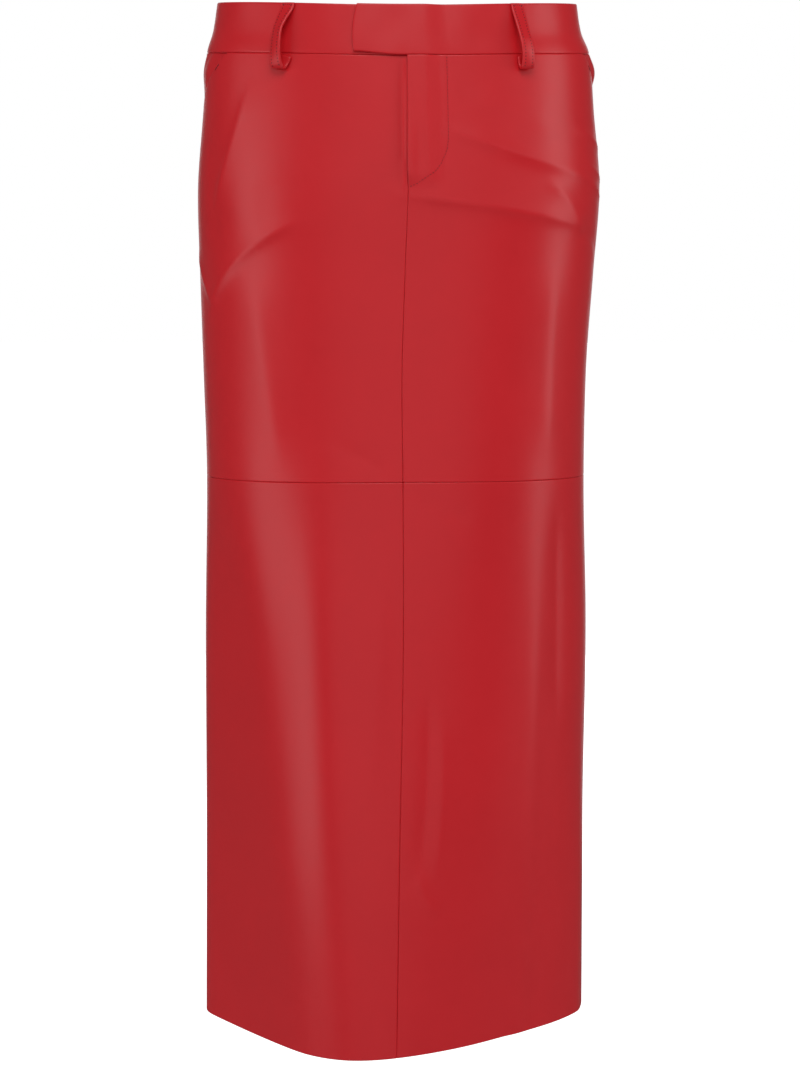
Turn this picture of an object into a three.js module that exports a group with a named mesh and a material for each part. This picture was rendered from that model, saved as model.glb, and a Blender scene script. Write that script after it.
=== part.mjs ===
import * as THREE from 'three';

// Long pencil skirt in smooth red leather, worn and filled out, open at the waist and the hem.
// Millimetres, +Z up, the front faces -Y and +X is the viewer's right.
// The origin is the middle of the waist, level with the band's top edge.
// A place on the skirt is an angle round it, in degrees from the centre front and positive
// to the viewer's right, and a drop below the band's top edge.

// Driving dimensions
const bandHeight = 42;
const kneeDrop = 400;
const hemDrop = 868;
const sideSeam = 96;
const wall = 1.4;
const bandWall = 2.2;
const seamGap = 0.3;

// Sections of the body, one for each drop
const sections = [
  { drop: 0, halfWidth: 151.8, frontDepth: 92, backDepth: 94, square: 2.1, shift: 0.5, turn: 4.4, dip: 7 },
  { drop: 24, halfWidth: 155.6, frontDepth: 97.2, backDepth: 101, square: 2.1, shift: 0.6, turn: 4.3, dip: 6 },
  { drop: 42, halfWidth: 161.8, frontDepth: 101, backDepth: 108, square: 2.1, shift: 1.4, turn: 4.2, dip: 6 },
  { drop: 92, halfWidth: 165.8, frontDepth: 109.5, backDepth: 128, square: 2.15, shift: 1.8, turn: 4, dip: 4 },
  { drop: 155, halfWidth: 170.8, frontDepth: 116.5, backDepth: 140, square: 2.2, shift: 1.9, turn: 3.8, dip: 2 },
  { drop: 225, halfWidth: 167.9, frontDepth: 117.5, backDepth: 142, square: 2.2, shift: 0.2, turn: 3.4, dip: 0 },
  { drop: 310, halfWidth: 164, frontDepth: 119, backDepth: 140, square: 2.2, shift: -1.5, turn: 3, dip: -3 },
  { drop: 400, halfWidth: 162.8, frontDepth: 122, backDepth: 138, square: 2.2, shift: -0.5, turn: 2.8, dip: -5 },
  { drop: 530, halfWidth: 166, frontDepth: 128, backDepth: 138, square: 2.15, shift: 0.6, turn: 2.3, dip: -3 },
  { drop: 700, halfWidth: 165.2, frontDepth: 134, backDepth: 139, square: 2.05, shift: -1.2, turn: 1.6, dip: 1 },
  { drop: 868, halfWidth: 166, frontDepth: 141, backDepth: 140, square: 1.95, shift: -2.2, turn: 1, dip: 6 },
];

// The front dips by a section's dip and the back rises by a share of it.
const backRise = 0.3;
// Below the knee the lowest point of the hem moves round to the viewer's left.
const hemLean = -20;

// Largest folds, each from one place to another. A ridge has a positive height, a trough a
// negative one, a bow bends its line, and right and left are its widths on those sides as the
// line runs down, all in millimetres.
const folds = [
  { name: 'left front corner', angle: -43, drop: 340, toAngle: -5, toDrop: 1100, bow: 2, right: 46, left: 56, crest: 20, height: 14 },
  { name: 'right hem corner', angle: 76, drop: 600, toAngle: 76, toDrop: 1160, bow: 0, right: 20, left: 24, crest: 8, height: 3.2 },
  { name: 'right front flat', angle: 66, drop: 310, toAngle: 40, toDrop: 1100, bow: 0, right: 70, left: 60, crest: 30, height: -7 },
  { name: 'right front corner', angle: 51, drop: 404, toAngle: 43, toDrop: 1000, bow: 2, right: 20, left: 22, crest: 10, height: 2.2 },
  { name: 'arc under left pocket', angle: -34, drop: 174, toAngle: -78, toDrop: 272, bow: -15, right: 8, left: 22, crest: 5, height: 2.6 },
  { name: 'left pocket ridge', angle: -61.5, drop: 56, toAngle: -74, toDrop: 186, bow: 3, right: 16, left: 8, crest: 5, height: 1.5 },
  { name: 'left thigh ridge', angle: -57, drop: 215, toAngle: -45, toDrop: 396, bow: 0, right: 18, left: 20, crest: 8, height: 1.8 },
  { name: 'right hip roll one', angle: 8, drop: 98, toAngle: 82, toDrop: 160, bow: 0, right: 24, left: 10, crest: 5, height: 2.4 },
  { name: 'right hip roll two', angle: -14, drop: 158, toAngle: 76, toDrop: 194, bow: 7, right: 24, left: 10, crest: 5, height: 2.4 },
  { name: 'right thigh ridge', angle: 54, drop: 206, toAngle: 54, toDrop: 398, bow: 0, right: 16, left: 18, crest: 8, height: 1.8 },
  { name: 'seat crease left', angle: -112, drop: 242, toAngle: -170, toDrop: 266, bow: -9, right: 9, left: 20, crest: 5, height: 2.6 },
  { name: 'seat crease right', angle: 118, drop: 238, toAngle: 172, toDrop: 270, bow: -9, right: 20, left: 9, crest: 5, height: 2.6 },
  { name: 'back knee crease left', angle: -124, drop: 374, toAngle: -176, toDrop: 352, bow: 5, right: 10, left: 10, crest: 4, height: -1.7 },
  { name: 'back knee crease right', angle: 120, drop: 358, toAngle: 174, toDrop: 380, bow: -5, right: 10, left: 10, crest: 4, height: -1.7 },
  { name: 'back thigh ridge left', angle: -132, drop: 180, toAngle: -136, toDrop: 396, bow: 0, right: 20, left: 20, crest: 10, height: 1.8 },
  { name: 'back thigh ridge right', angle: 138, drop: 184, toAngle: 134, toDrop: 396, bow: 0, right: 20, left: 20, crest: 10, height: 1.8 },
  { name: 'back calf ridge left', angle: -134, drop: 404, toAngle: -150, toDrop: 1000, bow: 0, right: 26, left: 26, crest: 12, height: 3.4 },
  { name: 'back calf ridge right', angle: 141, drop: 404, toAngle: 128, toDrop: 1000, bow: 0, right: 26, left: 26, crest: 12, height: 3.4 },
  { name: 'back calf hollow left', angle: -112, drop: 420, toAngle: -120, toDrop: 1000, bow: 4, right: 18, left: 18, crest: 9, height: -2.4 },
  { name: 'back calf hollow right', angle: 116, drop: 430, toAngle: 110, toDrop: 1000, bow: -4, right: 18, left: 18, crest: 9, height: -2.4 },
];
// The flat side of the lower left front: which way it faces in degrees, and how far out it lies
const flatSide = [
  { drop: 320, facing: -58, away: 176 },
  { drop: 396, facing: -58, away: 160 },
  { drop: 460, facing: -58, away: 154 },
  { drop: 530, facing: -57.5, away: 152 },
  { drop: 620, facing: -57, away: 150 },
  { drop: 700, facing: -56.5, away: 148.8 },
  { drop: 868, facing: -56, away: 146.8 },
];
const flatEdge = 2.5;
const foldRadius = 140;
const sharpness = 1.7;

// Overlap tab of the band, fly and pocket mouths
const tabEnd = -24.4;
const tabBulge = 0.5;
const tabTrim = 1.6;
const layerGap = 0.5;
const lapEnd = 5;
const tabSettle = { from: 7, to: 20 };
const fly = { underlap: 5, endDrop: 156, liftFrom: 7, liftTo: 17 };
const pocket = { topAngle: 74, topDrop: bandHeight, endDrop: 102, curve: 0.9, lap: 7, under: 0.7 };

// Belt loops: the angles of the top and the foot of each strap
const loops = [
  { name: 'belt_loop_front_left', topAngle: -53.5, footAngle: -50.3 },
  { name: 'belt_loop_front_right', topAngle: 49, footAngle: 46.9 },
  { name: 'belt_loop_back_left', topAngle: -126, footAngle: -126 },
  { name: 'belt_loop_back_middle', topAngle: 180, footAngle: 180 },
  { name: 'belt_loop_back_right', topAngle: 126, footAngle: 126 },
];
const loopShape = { width: 11, thick: 2.2, topDrop: 1, footDrop: 56, seat: 8, standOff: 7.6 };

// Colours
const leather = { color: 0xb5303a, roughness: 0.36, metalness: 0 };
const lowerLeather = { color: 0xae2e38, roughness: 0.36, metalness: 0 };

const radians = THREE.MathUtils.degToRad;
const lerp = THREE.MathUtils.lerp;
const clamp = THREE.MathUtils.clamp;

function smooth(from, to, value) {
  const t = clamp((value - from) / (to - from), 0, 1);
  return t * t * (3 - 2 * t);
}

// One measure of the body at a drop, on a smooth curve through the sections
function measure(key, drop) {
  const last = sections.length - 1;
  let i = 0;
  while (i < last - 1 && drop > sections[i + 1].drop) i += 1;
  const slope = (k) => {
    const a = sections[Math.max(k - 1, 0)];
    const b = sections[Math.min(k + 1, last)];
    return (b[key] - a[key]) / (b.drop - a.drop);
  };
  const span = sections[i + 1].drop - sections[i].drop;
  const t = (drop - sections[i].drop) / span;
  const t2 = t * t;
  const t3 = t2 * t;
  return (2 * t3 - 3 * t2 + 1) * sections[i][key] + (t3 - 2 * t2 + t) * slope(i) * span
    + (3 * t2 - 2 * t3) * sections[i + 1][key] + (t3 - t2) * slope(i + 1) * span;
}

// Height of all folds at a place, with the angle taken the short way round
function foldHeight(angle, drop) {
  let total = 0;
  for (const fold of folds) {
    const middle = (fold.angle + fold.toAngle) / 2;
    const near = angle + 360 * Math.round((middle - angle) / 360);
    const runX = radians(fold.toAngle - fold.angle) * foldRadius;
    const runY = fold.toDrop - fold.drop;
    const length = Math.hypot(runX, runY);
    const x = radians(near - fold.angle) * foldRadius;
    const y = drop - fold.drop;
    const along = (x * runX + y * runY) / (length * length);
    if (along > 0 && along < 1) {
      const across = (x * runY - y * runX) / length - 4 * fold.bow * along * (1 - along);
      const fade = smooth(0, 0.3, along) * smooth(0, 0.3, 1 - along);
      const wide = across > 0 ? fold.right : fold.left;
      total += fold.height * fade * Math.exp((fold.crest - Math.hypot(across, fold.crest)) * sharpness / wide);
    }
  }
  return total;
}

// The nearer of the body and the flat side, with a soft edge between them
function flatten(reach, phi, drop) {
  let i = 0;
  while (i < flatSide.length - 2 && drop > flatSide[i + 1].drop) i += 1;
  const a = flatSide[i];
  const b = flatSide[i + 1];
  const t = clamp((drop - a.drop) / (b.drop - a.drop), 0, 1);
  const turn = Math.cos(phi - radians(lerp(a.facing, b.facing, t)));
  const plane = lerp(a.away, b.away, t) / Math.max(turn, 0.3);
  return Math.min(reach, plane) - flatEdge * Math.log1p(Math.exp(-Math.abs(reach - plane) / flatEdge));
}

// Point of the outer face at an angle and a drop
function skin(angle, drop) {
  const phi = radians(angle + measure('turn', drop));
  const sin = Math.sin(phi);
  const cos = Math.cos(phi);
  const toBack = smooth(0, 1, (1 - cos) / 2);
  const depth = lerp(measure('frontDepth', drop), measure('backDepth', drop), toBack);
  const square = measure('square', drop);
  const side = (Math.abs(sin) / measure('halfWidth', drop)) ** square;
  const deep = (Math.abs(cos) / depth) ** square;
  const reach = flatten((side + deep) ** (-1 / square) + foldHeight(angle, drop), phi, drop);
  const lean = hemLean * clamp((drop - kneeDrop) / (hemDrop - kneeDrop), 0, 1);
  const low = Math.cos(radians(angle - lean));
  const dip = measure('dip', drop) * (low > 0 ? low : low * backRise);
  return new THREE.Vector3(measure('shift', drop) + reach * sin, -reach * cos, -drop - dip);
}

// Point at a height over the outer face, along its normal
function over(angle, drop, height) {
  const step = 0.4;
  const across = skin(angle + step, drop).sub(skin(angle - step, drop));
  const down = skin(angle, drop + step).sub(skin(angle, drop - step));
  const normal = down.cross(across).normalize();
  return skin(angle, drop).addScaledVector(normal, height);
}

// Angle that spans a length on the skirt at a place
function spanAngle(angle, drop, length) {
  return length / skin(angle - 0.5, drop).distanceTo(skin(angle + 0.5, drop));
}

// Closed wall over a grid: place gives the angle, drop and height over the outer face for each node
function wallGeometry(columns, rows, thick, place) {
  const points = [];
  for (const inner of [0, 1]) {
    for (let row = 0; row <= rows; row += 1) {
      for (let column = 0; column <= columns; column += 1) {
        const at = place(column / columns, row / rows);
        points.push(over(at.angle, at.drop, at.height - inner * thick));
      }
    }
  }
  const layer = (columns + 1) * (rows + 1);
  const node = (row, column, inner) => inner * layer + row * (columns + 1) + column;
  const triangles = [];
  const quad = (a, b, c, d) => triangles.push(a, b, c, a, c, d);
  for (let row = 0; row < rows; row += 1) {
    for (let column = 0; column < columns; column += 1) {
      const a = node(row, column, 0);
      const b = node(row + 1, column, 0);
      const c = node(row + 1, column + 1, 0);
      const d = node(row, column + 1, 0);
      const straight = points[a].distanceTo(points[c]) <= points[b].distanceTo(points[d]);
      const cell = straight ? [a, b, c, d] : [b, c, d, a];
      quad(...cell);
      const [e, f, g, h] = cell.map((corner) => corner + layer);
      triangles.push(e, g, f, e, h, g);
    }
  }
  for (let column = 0; column < columns; column += 1) {
    quad(node(0, column, 0), node(0, column + 1, 0), node(0, column + 1, 1), node(0, column, 1));
    quad(node(rows, column, 0), node(rows, column, 1), node(rows, column + 1, 1), node(rows, column + 1, 0));
  }
  for (let row = 0; row < rows; row += 1) {
    quad(node(row, 0, 0), node(row, 0, 1), node(row + 1, 0, 1), node(row + 1, 0, 0));
    quad(node(row, columns, 0), node(row + 1, columns, 0), node(row + 1, columns, 1), node(row, columns, 1));
  }
  const geometry = new THREE.BufferGeometry();
  const positions = points.flatMap((point) => point.toArray());
  geometry.setAttribute('position', new THREE.Float32BufferAttribute(positions, 3));
  geometry.setIndex(triangles);
  geometry.computeVertexNormals();
  return geometry;
}

const skirt = new THREE.Group();
skirt.name = 'pencil_skirt';

function addPiece(name, finish, columns, rows, thick, place) {
  const mesh = new THREE.Mesh(
    wallGeometry(columns, rows, thick, place),
    new THREE.MeshStandardMaterial(finish),
  );
  mesh.name = name;
  skirt.add(mesh);
}

// Angle of the pocket mouth on either side, which meets the side seam at its end
function pocketMouth(drop) {
  const t = clamp((drop - pocket.topDrop) / (pocket.endDrop - pocket.topDrop), 0, 1);
  return lerp(pocket.topAngle, sideSeam, t ** pocket.curve);
}

// Height of the top front panel at the fly, where it lies over the other one
function flyHeight(angle, drop) {
  const down = 1 - smooth(fly.endDrop - 16, fly.endDrop, drop);
  return (wall + layerGap) * down * (1 - smooth(fly.liftFrom, fly.liftTo, angle));
}

// Drops of rows that are closer together in the upper part, which has the pocket and the fly
function upperDrop(t) {
  const top = bandHeight + seamGap / 2;
  const bottom = kneeDrop - seamGap / 2;
  const split = 0.36;
  if (t < split) return lerp(top, fly.endDrop, t / split);
  return lerp(fly.endDrop, bottom, (t - split) / (1 - split));
}

// Upper front panels
const frontColumns = 19;
const upperRows = 22;
addPiece('front_upper_left', leather, frontColumns, upperRows, wall, (s, t) => {
  const drop = upperDrop(t);
  const lap = fly.underlap * (1 - smooth(fly.endDrop - 28, fly.endDrop - 16, drop));
  const gap = spanAngle(0, drop, seamGap / 2);
  return { angle: lerp(-pocketMouth(drop) + gap, lap - gap, s), drop, height: 0 };
});
addPiece('front_upper_right', leather, frontColumns, upperRows, wall, (s, t) => {
  const drop = upperDrop(t);
  const gap = spanAngle(0, drop, seamGap / 2);
  const angle = lerp(gap, pocketMouth(drop) - gap, s);
  return { angle, drop, height: flyHeight(angle, drop) };
});

// Hip pieces behind the slant pockets
for (const side of [-1, 1]) {
  addPiece(side < 0 ? 'pocket_facing_left' : 'pocket_facing_right', leather, 7, 7, wall, (s, t) => {
    const drop = lerp(pocket.topDrop + seamGap / 2, pocket.endDrop + 10, t);
    const mouth = pocketMouth(drop);
    const seam = sideSeam - spanAngle(side * sideSeam, drop, seamGap / 2);
    const out = side < 0 ? 1 - s : s;
    const angle = lerp(mouth - pocket.lap, seam, out);
    const rise = clamp((angle - mouth) / (sideSeam - pocket.topAngle), 0, 1);
    return { angle: side * angle, drop, height: (rise - 1) * (wall + pocket.under) };
  });
}

// Lower front panels
const lowerRows = 18;
const frontLowerColumns = 15;
function lowerDrop(t) {
  return lerp(kneeDrop + seamGap / 2, hemDrop, t);
}
function between(from, to, s, drop) {
  const gapFrom = spanAngle(from, drop, seamGap / 2);
  const gapTo = spanAngle(to, drop, seamGap / 2);
  return lerp(from + gapFrom, to - gapTo, s);
}
const lowerFronts = [
  { name: 'front_lower_left', from: -sideSeam, to: 0 },
  { name: 'front_lower_right', from: 0, to: sideSeam },
];
for (const panel of lowerFronts) {
  addPiece(panel.name, lowerLeather, frontLowerColumns, lowerRows, wall, (s, t) => {
    const drop = lowerDrop(t);
    return { angle: between(panel.from, panel.to, s, drop), drop, height: 0 };
  });
}

// Back panels, with the centre back seam at half a turn
const halfTurn = 180;
const backColumns = 10;
const backs = [
  { side: 'left', from: -halfTurn, to: -sideSeam },
  { side: 'right', from: sideSeam, to: halfTurn },
];
for (const back of backs) {
  addPiece(`back_upper_${back.side}`, leather, backColumns, 16, wall, (s, t) => {
    const drop = upperDrop(t);
    return { angle: between(back.from, back.to, s, drop), drop, height: 0 };
  });
  addPiece(`back_lower_${back.side}`, lowerLeather, backColumns, 14, wall, (s, t) => {
    const drop = lowerDrop(t);
    return { angle: between(back.from, back.to, s, drop), drop, height: 0 };
  });
}

// Waistband: the under half runs behind the tab, and the over half ends in the tab
const bandColumns = 34;
const bandRows = 4;
addPiece('waistband_under', leather, bandColumns, bandRows, bandWall, (s, t) => {
  const drop = (bandHeight - seamGap / 2) * t;
  const gap = spanAngle(halfTurn, drop, seamGap / 2);
  return { angle: lerp(-halfTurn + gap, lapEnd, s), drop, height: 0 };
});
addPiece('waistband_over', leather, bandColumns, bandRows, bandWall, (s, t) => {
  const end = tabEnd - tabBulge * Math.sin(Math.PI * t);
  const gap = spanAngle(halfTurn, 0, seamGap / 2);
  const angle = lerp(end, halfTurn - gap, s);
  const trim = tabTrim * smooth(-6, tabEnd, angle);
  const drop = (bandHeight - seamGap / 2 - trim) * t;
  const height = (bandWall + layerGap) * (1 - smooth(tabSettle.from, tabSettle.to, angle));
  return { angle, drop, height };
});

// Belt loops: a strap that is sewn flat at its top and its foot and stands off between
for (const loop of loops) {
  addPiece(loop.name, leather, 2, 14, loopShape.thick, (s, t) => {
    const drop = lerp(loopShape.topDrop, loopShape.footDrop, t);
    const middle = lerp(loop.topAngle, loop.footAngle, t);
    const half = spanAngle(middle, drop, loopShape.width / 2);
    const rise = smooth(loopShape.topDrop + loopShape.seat / 2, bandHeight / 2, drop);
    const fall = smooth(loopShape.footDrop - loopShape.seat, bandHeight / 2 + 8, drop);
    const height = layerGap + loopShape.thick + loopShape.standOff * rise * fall;
    return { angle: lerp(middle - half, middle + half, s), drop, height };
  });
}

export default skirt;
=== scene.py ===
import math
import bpy
import numpy as np
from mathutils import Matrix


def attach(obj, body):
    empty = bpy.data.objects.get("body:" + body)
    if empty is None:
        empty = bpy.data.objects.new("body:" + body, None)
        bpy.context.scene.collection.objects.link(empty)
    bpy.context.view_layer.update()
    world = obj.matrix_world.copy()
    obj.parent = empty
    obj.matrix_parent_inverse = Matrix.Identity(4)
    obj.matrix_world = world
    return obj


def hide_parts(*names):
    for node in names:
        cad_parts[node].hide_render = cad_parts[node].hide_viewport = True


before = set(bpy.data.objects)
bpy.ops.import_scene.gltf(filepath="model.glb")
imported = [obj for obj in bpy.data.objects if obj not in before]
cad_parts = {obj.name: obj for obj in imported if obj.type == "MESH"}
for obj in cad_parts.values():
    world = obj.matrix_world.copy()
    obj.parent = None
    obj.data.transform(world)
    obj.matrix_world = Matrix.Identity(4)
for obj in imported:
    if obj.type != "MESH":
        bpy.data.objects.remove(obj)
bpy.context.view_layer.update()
bpy.ops.object.select_all(action="DESELECT")
scene = bpy.context.scene
scene.view_settings.view_transform = "Standard"
chance = np.random.default_rng(11)
mm = 0.001                                     # the skirt's own sizes below are in millimetres

# Camera, at the height of the hips and 2.4 m away
view = {
    "aim": (0.003, 0.0, -0.452),
    "distance": 2.4,
    "elevation": 7.0,                          # degrees that it looks down
    "pictureHeight": 1067,
    "pixelSize": 0.000866,                     # metres a pixel where it aims
    "sensor": 36.0,
}


def addCamera():
    tilt = math.radians(view["elevation"])
    x, y, z = view["aim"]
    place = (x, y - view["distance"] * math.cos(tilt), z + view["distance"] * math.sin(tilt))
    bpy.ops.object.camera_add(location=place, rotation=(math.pi / 2 - tilt, 0, 0))
    camera = bpy.context.active_object
    span = view["pictureHeight"] * view["pixelSize"]
    camera.data.sensor_width = view["sensor"]
    camera.data.lens = view["sensor"] * view["distance"] / span
    scene.camera = camera


addCamera()
print("camera is in place")

# The body under the cloth: one entry for each section, down from the top of the band
body = {
    "drop":       [0,     24,    42,    92,    155,   225,   310,  400,   530,  700,   868],
    "halfWidth":  [151.8, 155.6, 161.8, 165.8, 170.8, 167.9, 164,  162.8, 166,  165.2, 166],
    "frontDepth": [92,    97.2,  101,   109.5, 116.5, 117.5, 119,  121,   124.8, 136, 135],
    "backDepth":  [94,    101,   108,   128,   140,   142,   140,  138,   138,  139,   140],
    "square":     [2.1,   2.1,   2.1,   2.15,  2.2,   2.2,   2.2,  2.2,   2.15, 2.05,  1.95],
    "shift":      [0.5,   0.6,   1.4,   1.8,   1.9,   0.2,   -1.5, -0.5,  0.6,  -1.2,  -2.2],
    "turn":       [4.4,   4.3,   4.2,   4,     3.8,   3.4,   3,    2.8,   2.3,  1.6,   1],
    "dip":        [7,     6,     6,     4,     2,     0,     -3,   -5,    -3,   3.6,  9.4],
}
cut = {
    "bandHeight": 42,
    "kneeDrop": 400,
    "hemDrop": 868,
    "sideSeam": 96,                            # degrees from the centre front
    "backRise": 0.3,                           # how much of the front's dip the back rises by
    "hemLean": -50,                            # the hem's lowest point moves to the viewer's left
    "foldRadius": 140,                         # turns degrees into millimetres along a fold
    "ply": 1.3,
    "fold": 2.2,                               # two plies, at turned edges
    "band": 2.2,
}

# Folds and creases: from angle, drop to angle, drop, then the bow of the line, the width on its
# upper or right side and on its lower or left side, how round its crest is, and its height
folds = [
    ("left front corner", -32, 340, -5.6, 1100, 0.5, 65, 42, 42, 17.5),
    ("right front flat", 66, 310, 40, 1100, 0, 70, 60, 30, -7),
    ("right front corner", 51, 404, 43, 1000, 2, 18, 20, 9, 2.2),
    ("right hem corner", 76, 600, 76, 1160, 0, 20, 24, 8, 3.2),
    ("right shin hollow", 60, 404, 61, 620, 0, 9, 12, 4, -1.6),
    ("arc under left pocket", -34, 174, -78, 272, -15, 6, 22, 1.4, 2.6),
    ("left pocket ridge", -61.5, 56, -74, 186, 3, 16, 6, 1.8, 1.5),
    ("left hip hollow", -76, 96, -70, 220, 0, 12, 12, 8, -1.2),
    ("left hip dent", -54, 142, -51, 196, 0, 26, 12, 8, -0.7),
    ("left sheen fold", -90, 204, -70, 258, 0, 8, 5, 1.6, 1.3),
    ("left thigh ridge", -57, 215, -45, 396, 0, 16, 20, 8, 1.8),
    ("right hip roll one", 8, 98, 82, 160, 0, 24, 8, 2, 2.4),
    ("right hip roll two", -14, 158, 76, 194, 7, 24, 8, 2, 2.4),
    ("right hip edge", 48, 143, 66, 196, 4, 12, 9, 2.4, 1.2),
    ("right upper roll", 22, 74, 60, 106, -2, 14, 14, 5, 0.9),
    ("right thigh ridge", 54, 206, 54, 398, 0, 14, 16, 8, 1.8),
    ("hip crease one", 61, 104, 86, 127, 2, 4, 3, 0.8, 0.9),
    ("hip crease two", 65, 134, 84, 152, 1, 4, 3, 0.8, 0.9),
    ("hip crease three", 66, 150, 83, 167, 1, 4, 3, 0.8, 0.8),
    ("hip crease four", 62, 188, 82, 208, 2, 7, 5, 2, -0.9),
    ("fly hollow", -2.2, 30, -2.2, 168, 0, 3, 9, 1.5, -2.0),
    ("ripple by the seam", 9, 560, 6, 724, 4, 7, 9, 4, -1),
    ("ripple beside it", 14, 585, 11, 742, 4, 7, 7, 4, 0.8),
    ("low ripple", 6, 714, 14, 756, -3, 6, 8, 3, 0.8),
    ("soft ridge by the seam", -8, 440, -13, 700, 3, 10, 12, 7, 0.8),
    ("pull at the knee left", -4, 396, -30, 366, -3, 9, 7, 4, -0.6),
    ("pull at the knee right", 4, 404, 28, 436, -3, 9, 7, 4, -0.6),
    ("seat crease left", -112, 242, -170, 266, -9, 7, 20, 1.8, 2.6),
    ("seat crease right", 118, 238, 172, 270, -9, 20, 7, 1.8, 2.6),
    ("short seat crease left", -126, 292, -158, 300, -4, 6, 14, 1.8, 1.4),
    ("short seat crease right", 128, 286, 162, 304, -4, 14, 6, 1.8, 1.4),
    ("back knee crease left", -124, 374, -176, 352, 5, 9, 7, 3, -1.7),
    ("back knee crease right", 120, 358, 174, 380, -5, 7, 9, 3, -1.7),
    ("back thigh ridge left", -132, 180, -136, 396, 0, 20, 20, 10, 1.8),
    ("back thigh ridge right", 138, 184, 134, 396, 0, 20, 20, 10, 1.8),
    ("back calf ridge left", -134, 404, -150, 1000, 0, 26, 26, 12, 3.4),
    ("back calf ridge right", 141, 404, 128, 1000, 0, 26, 26, 12, 3.4),
    ("back calf hollow left", -112, 420, -120, 1000, 4, 18, 18, 9, -2.4),
    ("back calf hollow right", 116, 430, 110, 1000, -4, 18, 18, 9, -2.4),
]


def ease(t):
    t = np.clip(t, 0, 1)
    return t * t * (3 - 2 * t)


def step(fromValue, toValue, value):
    return ease((value - fromValue) / (toValue - fromValue))


def measure(key, drop):                        # one measure of the body on a smooth curve
    at = np.array(body["drop"], float)
    value = np.array(body[key], float)
    slope = np.empty_like(value)
    slope[1:-1] = (value[2:] - value[:-2]) / (at[2:] - at[:-2])
    slope[0] = (value[1] - value[0]) / (at[1] - at[0])
    slope[-1] = (value[-1] - value[-2]) / (at[-1] - at[-2])
    i = np.clip(np.searchsorted(at, drop) - 1, 0, len(at) - 2)
    span = at[i + 1] - at[i]
    t = (drop - at[i]) / span
    start = (2 * t ** 3 - 3 * t ** 2 + 1) * value[i] + (t ** 3 - 2 * t ** 2 + t) * slope[i] * span
    return start + (3 * t ** 2 - 2 * t ** 3) * value[i + 1] + (t ** 3 - t ** 2) * slope[i + 1] * span


def foldHeight(angle, drop):
    total = np.zeros_like(angle)
    for name, a0, d0, a1, d1, bow, upper, lower, crest, height in folds:
        near = angle + 360 * np.round(((a0 + a1) / 2 - angle) / 360)
        runX = math.radians(a1 - a0) * cut["foldRadius"]
        runY = d1 - d0
        length = math.hypot(runX, runY)
        x = np.radians(near - a0) * cut["foldRadius"]
        y = drop - d0
        along = (x * runX + y * runY) / length ** 2
        inside = np.clip(along, 0, 1)
        across = (x * runY - y * runX) / length - 4 * bow * inside * (1 - inside)
        wide = np.where(across > 0, upper, lower)
        bell = np.exp(-(np.sqrt(across ** 2 + crest ** 2) - crest) * 1.7 / wide)
        fade = step(0, 0.3, along) * step(0, 0.3, 1 - along)
        total += height * fade * bell
    return total


# The flat side of the lower left front: which way it faces in degrees, and how far out it lies
flat = {
    "drop":   [320, 396, 460,   530, 620,   700,   868],
    "normal": [-58, -58, -58,   -55, -55.8, -56.6, -52.5],
    "away":   [176, 160, 154.1, 151.2, 148.2, 145.2, 137.6],
    "soft": 2.5,
}


def flatten(reach, phi, drop):                 # the nearer of body and flat, with a soft edge
    turn = np.cos(phi - np.radians(np.interp(drop, flat["drop"], flat["normal"])))
    plane = np.interp(drop, flat["drop"], flat["away"]) / np.maximum(turn, 0.3)
    gap = np.abs(reach - plane) / flat["soft"]
    return np.minimum(reach, plane) - flat["soft"] * np.log1p(np.exp(-gap))


def skin(angle, drop):                         # the outer face of the cloth
    phi = np.radians(angle + measure("turn", drop))
    sin, cos = np.sin(phi), np.cos(phi)
    toBack = ease((1 - cos) / 2)
    depth = measure("frontDepth", drop) * (1 - toBack) + measure("backDepth", drop) * toBack
    square = measure("square", drop)
    side = (np.abs(sin) / measure("halfWidth", drop)) ** square
    deep = (np.abs(cos) / depth) ** square
    reach = (side + deep) ** (-1 / square) + foldHeight(angle, drop)
    reach = flatten(reach, phi, drop)
    lean = cut["hemLean"] * np.clip((drop - cut["kneeDrop"]) / (cut["hemDrop"] - cut["kneeDrop"]), 0, 1)
    low = np.cos(np.radians(angle - lean))
    dip = measure("dip", drop) * np.where(low > 0, low, low * cut["backRise"])
    return np.stack([measure("shift", drop) + reach * sin, -reach * cos, -drop - dip], axis=-1)


def normalAt(angle, drop):
    reachOut = 0.3
    across = skin(angle + reachOut, drop) - skin(angle - reachOut, drop)
    down = skin(angle, drop + reachOut) - skin(angle, drop - reachOut)
    normal = np.cross(down, across)
    return normal / np.linalg.norm(normal, axis=-1, keepdims=True)


def over(angle, drop, height):                 # a point at a height over the outer face
    angle, drop, height = np.broadcast_arrays(*(np.asarray(v, float) for v in (angle, drop, height)))
    return skin(angle, drop) + normalAt(angle, drop) * height[..., None]


def roundOff(distance, radius):                # how far a turned edge drops near its end
    left = np.clip(radius - distance, 0, radius)
    return radius - np.sqrt(np.maximum(radius ** 2 - left ** 2, 0))


edgeSteps = [0, 0.15, 0.4, 0.8, 1.3, 2.1, 3.4]  # grid lines at a turned edge, in mm


def stops(count, length, start=True, end=True):
    near = np.array(edgeSteps) / length
    first = near if start else near[:1]
    last = 1 - near[::-1] if end else np.array([1.0])
    middle = np.linspace(first[-1], last[0], count + 1)[1:-1]
    return np.concatenate([first, middle, last])


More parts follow.
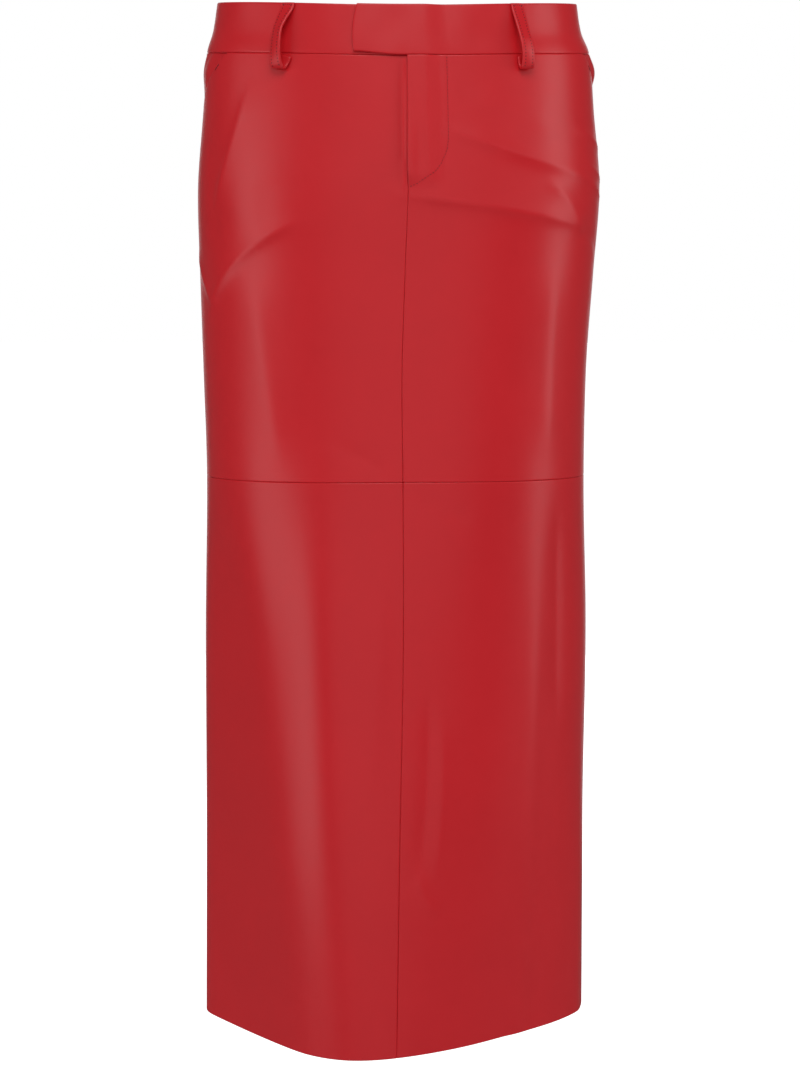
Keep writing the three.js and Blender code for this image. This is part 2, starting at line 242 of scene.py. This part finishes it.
def shell(name, across, down, shape):
    # A closed leather shell: a grid, extruded once, whose two faces are then laid on the body
    columns, rows = len(across) - 1, len(down) - 1
    bpy.ops.mesh.primitive_grid_add(x_subdivisions=columns, y_subdivisions=rows, size=1)
    piece = bpy.context.active_object
    piece.name = piece.data.name = name
    bpy.ops.object.mode_set(mode="EDIT")
    bpy.ops.mesh.select_all(action="SELECT")
    bpy.ops.mesh.extrude_region_move(TRANSFORM_OT_translate={"value": (0, 0, 1)})
    bpy.ops.object.mode_set(mode="OBJECT")
    mesh = piece.data
    spots = np.empty(len(mesh.vertices) * 3)
    mesh.vertices.foreach_get("co", spots)
    spots = spots.reshape(-1, 3)
    s = across[np.rint((spots[:, 0] + 0.5) * columns).astype(int)]
    t = down[np.rint((0.5 - spots[:, 1]) * rows).astype(int)]
    outer = spots[:, 2] > 0.5
    placed = shape(s, t, outer) * mm
    mesh.vertices.foreach_set("co", placed.ravel())
    inner = np.flatnonzero(~outer)
    hidden = np.zeros(len(mesh.vertices), bool)
    hidden[inner] = True
    slots = [int(all(hidden[v] for v in face.vertices)) for face in mesh.polygons]
    mesh.polygons.foreach_set("material_index", slots)
    mesh.update()
    bpy.ops.object.shade_smooth_by_angle(angle=math.radians(50))
    bpy.ops.object.select_all(action="DESELECT")
    return piece


print("body and tools are ready")


# Materials. Flow wraps one shader socket, so that masks are written as plain arithmetic.
class Flow:
    def __init__(self, tree, socket):
        self.tree = tree
        self.socket = socket

    def link(self, value, target):
        if isinstance(value, Flow):
            self.tree.links.new(value.socket, target)
        else:
            target.default_value = value

    def node(self, kind, settings=None, inputs=None, output=0):
        made = self.tree.nodes.new(kind)
        for key, value in (settings or {}).items():
            setattr(made, key, value)
        for key, value in (inputs or {}).items():
            self.link(value, made.inputs[key])
        return Flow(self.tree, made.outputs[output])

    def maths(self, operation, first, second):
        return self.node("ShaderNodeMath", {"operation": operation}, {0: first, 1: second})

    def __add__(self, other):
        return self.maths("ADD", self, other)

    def __radd__(self, other):
        return self.maths("ADD", other, self)

    def __sub__(self, other):
        return self.maths("SUBTRACT", self, other)

    def __rsub__(self, other):
        return self.maths("SUBTRACT", other, self)

    def __mul__(self, other):
        return self.maths("MULTIPLY", self, other)

    def __rmul__(self, other):
        return self.maths("MULTIPLY", other, self)


def blank(name):
    material = bpy.data.materials.new(name)
    material.use_nodes = True
    tree = material.node_tree
    tree.nodes.clear()
    flow = Flow(tree, None)
    place = flow.node("ShaderNodeTexCoord", output="Object")
    return material, flow, place


def noise(flow, place, scale, detail=2.0, roughness=0.5):
    return flow.node("ShaderNodeTexNoise", {}, {
        "Vector": place, "Scale": scale, "Detail": detail, "Roughness": roughness,
    })


def blend(flow, factor, first, second):
    return flow.node("ShaderNodeMix", {"data_type": "RGBA"}, {0: factor, 6: first, 7: second}, output=2)


def finishOff(flow, colour, roughness, normal, fixed):
    shader = flow.tree.nodes.new("ShaderNodeBsdfPrincipled")
    flow.link(colour, shader.inputs["Base Color"])
    flow.link(roughness, shader.inputs["Roughness"])
    flow.link(normal, shader.inputs["Normal"])
    for key, value in fixed.items():
        shader.inputs[key].default_value = value
    end = flow.tree.nodes.new("ShaderNodeOutputMaterial")
    flow.tree.links.new(shader.outputs[0], end.inputs[0])


# Smooth nappa leather: a fine grain, a soft unevenness of tone and gloss
nappa = {
    "upper": (0.70, 0.0125, 0.020, 1),
    "lower": (0.68, 0.0120, 0.0195, 1),
    "deep": 0.88,                              # how dark the deeper patches are
    "grain": 1500,                             # cells a metre
    "patches": 14,
    "gloss": 0.33,
    "grainDepth": 0.00006,
}


def leather(name, tone):
    material, flow, place = blank(name)
    patch = noise(flow, place, nappa["patches"], 3.0)
    cloud = noise(flow, place, nappa["patches"] * 6, 2.0)
    grain = flow.node("ShaderNodeTexVoronoi", {"feature": "F1"}, {"Vector": place, "Scale": nappa["grain"]})
    pores = noise(flow, place, nappa["grain"] * 0.35, 3.0)
    dark = tuple(v * nappa["deep"] for v in tone[:3]) + (1,)
    mask = patch * 0.7 + cloud * 0.3
    colour = blend(flow, mask, dark, tone)
    colour = blend(flow, (1 - grain) * 0.10, colour, dark)
    roughness = nappa["gloss"] - 0.04 + cloud * 0.05 + grain * 0.05
    height = grain * 0.5 + pores * 0.5
    bump = flow.node("ShaderNodeBump", {}, {
        "Strength": 0.5, "Distance": nappa["grainDepth"], "Height": height,
    })
    finishOff(flow, colour, roughness, bump, {"IOR": 1.46})
    return material


# The flesh side, which shows only through the waist and the hem
flesh = {"tone": (0.20, 0.016, 0.020, 1), "fibre": 900, "depth": 0.00025}


def fleshSide():
    material, flow, place = blank("fleshSide")
    nap = noise(flow, place, flesh["fibre"], 4.0, 0.7)
    dark = tuple(v * 0.6 for v in flesh["tone"][:3]) + (1,)
    colour = blend(flow, nap, dark, flesh["tone"])
    bump = flow.node("ShaderNodeBump", {}, {"Strength": 0.6, "Distance": flesh["depth"], "Height": nap})
    finishOff(flow, colour, 0.85 + nap * 0.1, bump, {"IOR": 1.4, "Sheen Weight": 0.15})
    return material


# The thread's near-black red is painted shade: the stitches are coloured as dark as the shaded holes they
# sink into, though the thread itself is the leather's red
threadPaintedShade = {"tone": (0.05, 0.003, 0.005, 1), "twist": 5200}


def threadFinish():
    material, flow, place = blank("sewingThread")
    twist = noise(flow, place, threadPaintedShade["twist"], 2.0)
    light = tuple(min(1, v * 1.6) for v in threadPaintedShade["tone"][:3]) + (1,)
    colour = blend(flow, twist, threadPaintedShade["tone"], light)
    bump = flow.node("ShaderNodeBump", {}, {"Strength": 0.4, "Distance": 0.00005, "Height": twist})
    finishOff(flow, colour, 0.5 + twist * 0.15, bump, {"IOR": 1.5})
    return material


upperLeather = leather("upperLeather", nappa["upper"])
lowerLeather = leather("lowerLeather", nappa["lower"])
insideLeather = fleshSide()
thread = threadFinish()
print("materials are mixed")


def dress(piece, finish, node):
    piece.data.materials.append(finish)
    piece.data.materials.append(insideLeather)
    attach(piece, "root")
    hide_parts(node)


# Pockets, fly and seams
pocket = {"topAngle": 74, "endDrop": 102, "curve": 0.9, "lap": 7, "under": 1.9}
fly = {
    "underlap": 5, "endDrop": 156, "lift": 2.4, "liftFrom": 7, "liftTo": 15,
    "gape": 1.8, "gapeDrop": 128, "gapeLength": 30,
}
flyCurve = {                                   # the J of the fly stitching, down and in to the edge
    "angle": [17.6, 16.9, 16.5, 16.1, 15.6, 14.5, 12.9, 11.1, 8.9, 6.6, 3.4, 0.5],
    "drop":  [43,   72,   93,   113.8, 120.4, 126.2, 133.2, 138.6, 142.1, 145.1, 149.7, 152.3],
}
seam = {"roll": 1.0, "kneeRoll": 0.85, "gape": 0.6, "gapeLength": 11, "turnFrom": 12, "turnTo": 18}


def pocketMouth(drop):
    t = np.clip((drop - cut["bandHeight"]) / (pocket["endDrop"] - cut["bandHeight"]), 0, 1)
    return pocket["topAngle"] + (cut["sideSeam"] - pocket["topAngle"]) * t ** pocket["curve"]


def flyHeight(angle, drop):
    down = 1 - step(fly["endDrop"] - 16, fly["endDrop"], drop)
    near = np.exp(-((drop - fly["gapeDrop"]) / fly["gapeLength"]) ** 2)
    gape = fly["gape"] * near * (1 - step(0, 5, angle))
    return fly["lift"] * down * (1 - step(fly["liftFrom"], fly["liftTo"], angle)) + gape * down


def flyLine(along):
    angle, drop = np.array(flyCurve["angle"]), np.array(flyCurve["drop"])
    run = np.concatenate([[0], np.cumsum(np.hypot(np.diff(angle) * 1.9, np.diff(drop)))])
    return np.interp(along * run[-1], run, angle), np.interp(along * run[-1], run, drop)


def flyInside(angle, drop):                    # 1 on the faced part of the fly, 0 outside the J
    line = np.interp(drop, flyCurve["drop"], flyCurve["angle"])
    return step(-0.6, 0.6, line - angle) * (1 - step(149, 153, drop))


def pucker(edge, along):                       # a light puckering along a sewn edge
    wave = np.sin(along / 7.3) + 0.6 * np.sin(along / 4.1 + 1.7)
    return 0.07 * wave * np.exp(-edge / 7)


upper = {"columns": 120, "rows": 165, "width": 250, "top": 42, "bottom": 400}
lower = {"columns": 110, "rows": 150, "width": 265, "top": 400, "bottom": 868}


def panelPoints(s, t, outer, panel, left, right, lift, folded):
    # left and right are the edges' angles, folded names the sides where the leather is doubled
    drop = panel["top"] + (panel["bottom"] - panel["top"]) * t
    a0, a1 = left(drop), right(drop)
    angle = a0 + (a1 - a0) * s
    tall = panel["bottom"] - panel["top"]
    room = {
        "left": s * panel["width"], "right": (1 - s) * panel["width"],
        "top": t * tall, "bottom": (1 - t) * tall,
    }
    height = lift(angle, drop)
    cross = np.exp(-((drop - cut["kneeDrop"]) / seam["gapeLength"]) ** 2) * (np.abs(angle) < 30)
    beside = np.minimum(room["left"], room["right"])
    ends = np.minimum(room["top"], room["bottom"])
    rolled = roundOff(beside, seam["roll"] * (1 + seam["gape"] * cross)) + roundOff(ends, seam["kneeRoll"])
    face = height - rolled + pucker(beside, drop) * step(0, 1.5, beside)
    thick = np.full_like(s, cut["ply"])
    for side in folded:
        thick += (cut["fold"] - cut["ply"]) * (1 - step(seam["turnFrom"], seam["turnTo"], room[side]))
    under = np.minimum(height - thick + rolled * 0.2, face - 0.15)
    return over(angle, drop, np.where(outer, face, under))


def addPanel(name, panel, left, right, lift, finish, folded):
    width, tall = panel["width"], panel["bottom"] - panel["top"]
    across = stops(panel["columns"], width)
    down = stops(panel["rows"], tall)

    def shape(s, t, outer):
        return panelPoints(s, t, outer, panel, left, right, lift, folded)

    piece = shell(name + "_leather", across, down, shape)
    dress(piece, finish, name)
    return piece


def level(angle, drop):
    return np.zeros_like(angle)


def edge(angle):
    return lambda drop: angle + 0 * drop


def addFronts():
    def leftMouth(drop):
        return -pocketMouth(drop)

    def leftLap(drop):
        return fly["underlap"] * (1 - step(fly["endDrop"] - 28, fly["endDrop"] - 16, drop))

    def rightLift(angle, drop):
        inside = flyInside(angle, drop)
        groove = 4 * inside * (1 - inside)
        return flyHeight(angle, drop) + 0.3 * inside - 0.14 * groove

    addPanel("front_upper_left", upper, leftMouth, leftLap, level, upperLeather,
             ["left", "right"])
    addPanel("front_upper_right", upper, edge(0), pocketMouth, rightLift, upperLeather,
             ["left", "right"])
    side = cut["sideSeam"]
    for name, start, end in (("front_lower_left", -side, 0), ("front_lower_right", 0, side)):
        addPanel(name, lower, edge(start), edge(end), level, lowerLeather,
                 ["bottom"])


def dart(angle, drop):                         # the sewn darts that take in the waist at the back
    depth = 0.7 * (1 - step(96, 150, drop))
    return -depth * np.exp(-((np.abs(angle) - 148) * 1.5) ** 2)


def addBacks():
    backUpper = dict(upper, columns=80, rows=120, width=225)
    backLower = dict(lower, columns=76, rows=110, width=230)
    for name, start, end in (("left", -180, -cut["sideSeam"]), ("right", cut["sideSeam"], 180)):
        addPanel("back_upper_" + name, backUpper, edge(start), edge(end), dart,
                 upperLeather, [])
        addPanel("back_lower_" + name, backLower, edge(start), edge(end), level,
                 lowerLeather, ["bottom"])


hips = [
    {"name": "pocket_facing_left", "side": -1, "bulge": 2.0, "crease": 0.5},
    {"name": "pocket_facing_right", "side": 1, "bulge": 4.6, "crease": 0.7},
]


def addHipPieces():
    size = {"columns": 44, "rows": 56, "width": 60, "tall": 70}
    for hip in hips:
        def shape(s, t, outer, hip=hip):
            side = hip["side"]
            drop = cut["bandHeight"] + size["tall"] * t
            mouth = pocketMouth(drop)
            out = s if side > 0 else 1 - s
            angle = mouth - pocket["lap"] + (cut["sideSeam"] - mouth + pocket["lap"]) * out
            shown = np.clip((angle - mouth) / np.maximum(cut["sideSeam"] - mouth, 1), 0, 1)
            bulge = hip["bulge"] * np.sin(math.pi * shown) * np.exp(-((drop - 58) / 13) ** 2)
            fold = np.sin((angle - mouth) * 0.95 + drop * 0.17)
            crease = hip["crease"] * fold * shown * (1 - step(70, 96, drop))
            height = (shown - 1) * pocket["under"] + bulge
            near = np.minimum((1 - out) * size["width"], t * size["tall"])
            face = height + crease - roundOff(near, 0.8)
            return over(side * angle, drop, np.where(outer, face, height - cut["ply"]))

        across, down = stops(size["columns"], size["width"]), stops(size["rows"], size["tall"])
        piece = shell(hip["name"] + "_leather", across, down, shape)
        dress(piece, upperLeather, hip["name"])


addFronts()
print("front panels are cut")
addBacks()
print("back panels are cut")
addHipPieces()
print("hip pieces are in the pockets")

# Waistband: two halves, the viewer's right one ends in the tab that laps over the other
band = {
    "columns": 210, "rows": 26, "roll": 1.15, "tabEnd": -24.4, "tabBulge": 0.9, "trim": 2.4,
    "lapEnd": 5, "lift": 2.9, "settleFrom": 7, "settleTo": 20, "length": 400,
}


def addBand():
    half = 180
    height = cut["bandHeight"]
    across = stops(band["columns"], band["length"])
    down = stops(band["rows"], height)

    def wave(angle, drop):                     # the band is never quite even
        soft = np.sin(np.radians(angle * 7) + 0.6) * 0.25
        soft = soft + np.sin(np.radians(angle * 17) + drop * 0.05) * 0.12
        return soft * np.sin(math.pi * np.clip(drop / height, 0, 1))

    def border(s, t):                          # distance to the nearest edge of the band
        return np.minimum.reduce([s * band["length"], (1 - s) * band["length"], t * height, (1 - t) * height])

    def under(s, t, outer):
        drop = height * t
        angle = -half + (band["lapEnd"] + half) * s
        near = border(s, t)
        face = wave(angle, drop) - roundOff(near, band["roll"])
        return over(angle, drop, np.where(outer, face, -cut["band"] + roundOff(near, band["roll"]) * 0.6))

    def tab(s, t, outer):
        corner = roundOff(np.minimum(t * height, (1 - t) * height), 2.2) * 0.35
        start = band["tabEnd"] - band["tabBulge"] * np.sin(math.pi * t) + corner
        angle = start + (half - start) * s
        drop = (height - band["trim"] * step(-4, band["tabEnd"], angle)) * t
        lift = band["lift"] * (1 - step(band["settleFrom"], band["settleTo"], angle))
        near = border(s, t)
        face = lift + wave(angle + 40, drop) - roundOff(near, band["roll"])
        hidden = lift - cut["band"] + roundOff(near, band["roll"]) * 0.6
        return over(angle, drop, np.where(outer, face, hidden))

    for name, shape in (("waistband_under", under), ("waistband_over", tab)):
        piece = shell(name + "_leather", across, down, shape)
        dress(piece, upperLeather, name)


addBand()
print("waistband is on")

# Stitches: one short thread, copied along a line
stitch = {"length": 1.3, "spacing": 2.6, "width": 0.8, "sink": 0.16}


def threadBead():                              # a rounded thread of unit length, along X
    bpy.ops.mesh.primitive_uv_sphere_add(segments=6, ring_count=4, radius=0.5, rotation=(0, math.pi / 2, 0))
    bead = bpy.context.active_object
    bpy.ops.object.transform_apply(rotation=True)
    points = np.array([v.co[:] for v in bead.data.vertices])
    faces = [list(f.vertices) for f in bead.data.polygons]
    bpy.data.objects.remove(bead)
    return points, faces


beadPoints, beadFaces = threadBead()


def sew(name, line, spacing=None, length=None):
    # line gives points and normals, in mm, for places from 0 to 1 along a row of stitches
    spacing = spacing or stitch["spacing"]
    length = length or stitch["length"]
    t = np.linspace(0, 1, 400)
    points, normals = line(t)
    run = np.concatenate([[0], np.cumsum(np.linalg.norm(np.diff(points, axis=0), axis=1))])
    count = max(2, int(run[-1] / spacing))
    at = (np.arange(count) + 0.5) * run[-1] / count
    verts, faces = [], []
    for where in at:
        here = np.array([np.interp(where, run, points[:, k]) for k in range(3)])
        ahead = np.array([np.interp(where + 0.6, run, points[:, k]) for k in range(3)])
        behind = np.array([np.interp(where - 0.6, run, points[:, k]) for k in range(3)])
        up = np.array([np.interp(where, run, normals[:, k]) for k in range(3)])
        along = ahead - behind
        along /= np.linalg.norm(along)
        side = np.cross(up, along)
        side /= np.linalg.norm(side)
        up = np.cross(along, side)
        along = along + side * chance.normal(0, 0.05)
        size = length * (1 + chance.normal(0, 0.04))
        wide = stitch["width"]
        bead = here + beadPoints[:, :1] * along * size + beadPoints[:, 1:2] * side * wide
        bead = bead + (beadPoints[:, 2:] * wide - stitch["sink"]) * up
        faces += [[v + len(verts) * len(beadPoints) for v in face] for face in beadFaces]
        verts.append(bead)
    mesh = bpy.data.meshes.new(name)
    mesh.from_pydata((np.concatenate(verts) * mm).tolist(), [], faces)
    piece = bpy.data.objects.new(name, mesh)
    scene.collection.objects.link(piece)
    mesh.shade_smooth()
    mesh.materials.append(thread)
    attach(piece, "root")
    return piece


def flyStitching():
    def line(t):
        angle, drop = flyLine(t)
        height = flyHeight(angle, drop) + 0.1
        return over(angle, drop, height), normalAt(angle, drop)

    sew("fly_stitching", line)


flyStitching()

# Belt loops: a folded strap, sewn flat at the top, that stands off the band and turns under at its
# foot. Rows: drop of the strap's middle, its height over the band, its twist outward, and how much
# of the loop's own lean to the side it has there
loopShape = {
    "width": 11.6, "thick": 2.3, "roll": 0.95, "columns": 16, "rows": 110, "stitchIn": 2.5,
    "footDrop": 55, "length": 62,
}
loopCourse = {
    "drop":   [0.7, 3,    7.5, 14,  23.5, 32.5, 42,  50.5, 54.2, 55.3, 54.4, 51,  47,  44.5],
    "height": [1.3, 1.35, 2.2, 4.5, 7.2,  9,    9.4, 7.9,  6,    4.2,  2.7,  1.6, 1.3, 1.25],
    "twist":  [0,   2,    8,   18,  28,   30,   26,  12,   5,    2,    0,    0,   0,   0],
    "aside":  [0,   0,    0.2, 0.6, 1,    1,    1,   1,    0.9,  0.8,  0.7,  0.4, 0.1, 0],
}
loops = [
    {"node": "belt_loop_front_left", "top": -53.5, "foot": -50.6, "side": -1, "twist": 1.0, "aside": -2.2},
    {"node": "belt_loop_front_right", "top": 49, "foot": 46.9, "side": 1, "twist": 0.3, "aside": 0.2},
    {"node": "belt_loop_back_left", "top": -126, "foot": -125, "side": 1, "twist": 0.3, "aside": 0.5},
    {"node": "belt_loop_back_middle", "top": 180, "foot": 180, "side": 1, "twist": 0.15, "aside": 0.2},
    {"node": "belt_loop_back_right", "top": 126, "foot": 125.5, "side": -1, "twist": 0.35, "aside": -0.4},
]


def loopFrame(loop, count):
    # Middle of the strap with its sideways and face directions, at even steps along it
    drop, height = np.array(loopCourse["drop"]), np.array(loopCourse["height"])
    run = np.concatenate([[0], np.cumsum(np.hypot(np.diff(drop), np.diff(height)))])
    where = np.linspace(0, run[-1], count)
    kernel = np.hanning(count // 16 * 2 + 1)
    kernel /= kernel.sum()
    pad = len(kernel) // 2

    def smoothed(key):
        values = np.interp(where, run, loopCourse[key])
        return np.convolve(np.pad(values, pad, mode="reflect", reflect_type="odd"), kernel, mode="valid")

    drop, height = smoothed("drop"), smoothed("height")
    angle = loop["top"] + (loop["foot"] - loop["top"]) * np.clip(drop / loopShape["footDrop"], 0, 1)
    angle = angle + loop["aside"] * smoothed("aside")
    centre = over(angle, drop, height)
    tangent = np.gradient(centre, axis=0)
    tangent /= np.linalg.norm(tangent, axis=-1, keepdims=True)
    sideways = skin(angle + 0.3, drop) - skin(angle - 0.3, drop)
    sideways -= tangent * (sideways * tangent).sum(-1, keepdims=True)
    sideways /= np.linalg.norm(sideways, axis=-1, keepdims=True)
    face = np.cross(tangent, sideways)
    turn = np.radians(smoothed("twist") * loop["twist"] * loop["side"])[:, None]
    cos, sin = np.cos(turn), np.sin(turn)
    return centre, sideways * cos - face * sin, face * cos + sideways * sin


def addLoop(loop):
    wide, thick, roll = loopShape["width"], loopShape["thick"], loopShape["roll"]
    across = stops(loopShape["columns"], wide)
    down = np.linspace(0, 1, loopShape["rows"] + 1)
    fine = np.linspace(0, 1, 320)
    centre, sideways, facing = loopFrame(loop, len(fine))

    def at(values, t):
        return np.stack([np.interp(t, fine, values[:, k]) for k in range(3)], axis=-1)

    def shape(s, t, outer):
        near = np.minimum(s, 1 - s) * wide
        end = np.minimum(t, 1 - t) * loopShape["length"]
        half = thick / 2 - roundOff(near, roll) - roundOff(end, roll) * 0.6
        swell = 0.12 * np.cos((s - 0.5) * 2 * math.pi)
        lift = np.where(outer, half + swell, -half)
        return at(centre, t) + at(sideways, t) * ((s - 0.5) * wide)[:, None] + at(facing, t) * lift[:, None]

    piece = shell(loop["node"] + "_strap", across, down, shape)
    piece.data.materials.append(upperLeather)
    piece.data.materials.append(upperLeather)
    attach(piece, "root")
    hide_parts(loop["node"])

    def row(offset, start, end):
        def line(t):
            u = start + (end - start) * t
            top = at(facing, u) * (thick / 2 + 0.06)
            return at(centre, u) + at(sideways, u) * offset + top, at(facing, u)
        return line

    def crossRow(u):
        def line(t):
            v = np.full_like(t, u)
            slide = ((t - 0.5) * (wide - 2.4))[:, None]
            return at(centre, v) + at(sideways, v) * slide + at(facing, v) * (thick / 2 + 0.06), at(facing, v)
        return line

    inset = wide / 2 - loopShape["stitchIn"]
    sew(loop["node"] + "_row_a", row(-inset, 0.02, 0.8))
    sew(loop["node"] + "_row_b", row(inset, 0.02, 0.8))
    sew(loop["node"] + "_top_row", crossRow(0.03), spacing=1.8, length=1.2)


for loop in loops:
    addLoop(loop)
print("belt loops are sewn on")


# Pocket bartacks: a few tight stitches across each end of the mouth
def bartack(name, side):
    def line(t):
        drop = 52 + 4.5 * t
        angle = side * (pocketMouth(drop) - 1.1)
        return over(angle, drop, 0.15 + 0 * t), normalAt(angle, drop)

    sew(name, line, spacing=0.7, length=1.4)


bartack("pocket_tack_left", -1)
bartack("pocket_tack_right", 1)
print("stitches are done")

# Floor and light: a pale floor well under the hem, a tall soft box at each side, wide ones in
# front, above and behind. Azimuths are degrees from the front, to the viewer's right.
studio = {
    "floorDrop": -1.25, "floorSize": 20, "floorTone": (0.8, 0.8, 0.8, 1), "floorGlow": 1.0,
    "seen": 1.0, "around": 0.12,
}
lamps = [
    {"name": "backWall", "azimuth": 180, "height": 0.0, "away": 4.0, "size": (3.6, 3.4), "power": 32},
    {"name": "leftStrip", "azimuth": -63, "height": -0.45, "away": 2.2, "size": (1.0, 1.8), "power": 8.4},
    {"name": "rightStrip", "azimuth": 80, "height": 0.1, "away": 2.2, "size": (0.85, 1.9), "power": 10},
    {"name": "topBox", "azimuth": 4, "height": 2.6, "away": 2.2, "size": (2.4, 1.6), "power": 56},
    {"name": "highBox", "azimuth": 0, "height": 1.1, "away": 4.0, "size": (4.2, 1.3), "power": 4.5},
    {"name": "highLeft", "azimuth": -64, "height": 0.9, "away": 3.6, "size": (3.4, 1.3), "power": 10},
    {"name": "highRight", "azimuth": 56, "height": 0.9, "away": 3.6, "size": (2.8, 1.3), "power": 7},
    {"name": "frontBox", "azimuth": 3, "height": -0.4, "away": 4.5, "size": (4.6, 3.4), "power": 22},
]


def glow(name, tone, strength):
    material, flow, place = blank(name)
    speck = noise(flow, place, 40)
    low = tuple(v * 0.98 for v in tone[:3]) + (1,)
    bump = flow.node("ShaderNodeBump", {}, {"Strength": 0.05, "Distance": 0.0005, "Height": speck})
    seen = flow.node("ShaderNodeLightPath", output="Is Camera Ray")
    finishOff(flow, blend(flow, speck, low, tone), 0.8 + speck * 0.05, bump, {"IOR": 1.2})
    shader = flow.tree.nodes["Principled BSDF"]
    shader.inputs["Emission Strength"].default_value = strength
    flow.link(blend(flow, seen, (0.1, 0.1, 0.1, 1), (1, 1, 1, 1)), shader.inputs["Emission Color"])
    return material


def addStudio():
    back = studio["floorSize"] / 2 - 2
    bpy.ops.mesh.primitive_plane_add(size=studio["floorSize"], location=(0, back, studio["floorDrop"]))
    floor = bpy.context.active_object
    floor.name = "floor"
    floor.data.materials.append(glow("paleFloor", studio["floorTone"], studio["floorGlow"]))
    floor.visible_glossy = False               # the leather mirrors the pale room, not the lit floor
    world = bpy.data.worlds.new("paleRoom")
    scene.world = world
    world.use_nodes = True
    tree = world.node_tree
    tree.nodes.clear()
    flow = Flow(tree, None)
    seen = flow.node("ShaderNodeLightPath", output="Is Camera Ray")
    sky = flow.node("ShaderNodeBackground", {}, {
        "Color": (1, 1, 1, 1), "Strength": seen * (studio["seen"] - studio["around"]) + studio["around"],
    })
    end = tree.nodes.new("ShaderNodeOutputWorld")
    tree.links.new(sky.socket, end.inputs[0])
    target = np.array([0.0, 0.0, -0.42])
    for lamp in lamps:
        turn = math.radians(lamp["azimuth"])
        place = np.array([math.sin(turn) * lamp["away"], -math.cos(turn) * lamp["away"], lamp["height"]])
        look = target - place
        tilt = math.atan2(math.hypot(look[0], look[1]), -look[2])
        bpy.ops.object.light_add(type="AREA", location=place, rotation=(tilt, 0, turn))
        light = bpy.context.active_object
        light.name = lamp["name"]
        light.data.shape = "RECTANGLE"
        light.data.size, light.data.size_y = lamp["size"]
        light.data.energy = lamp["power"]
        light.visible_camera = False


addStudio()
print("studio is lit")
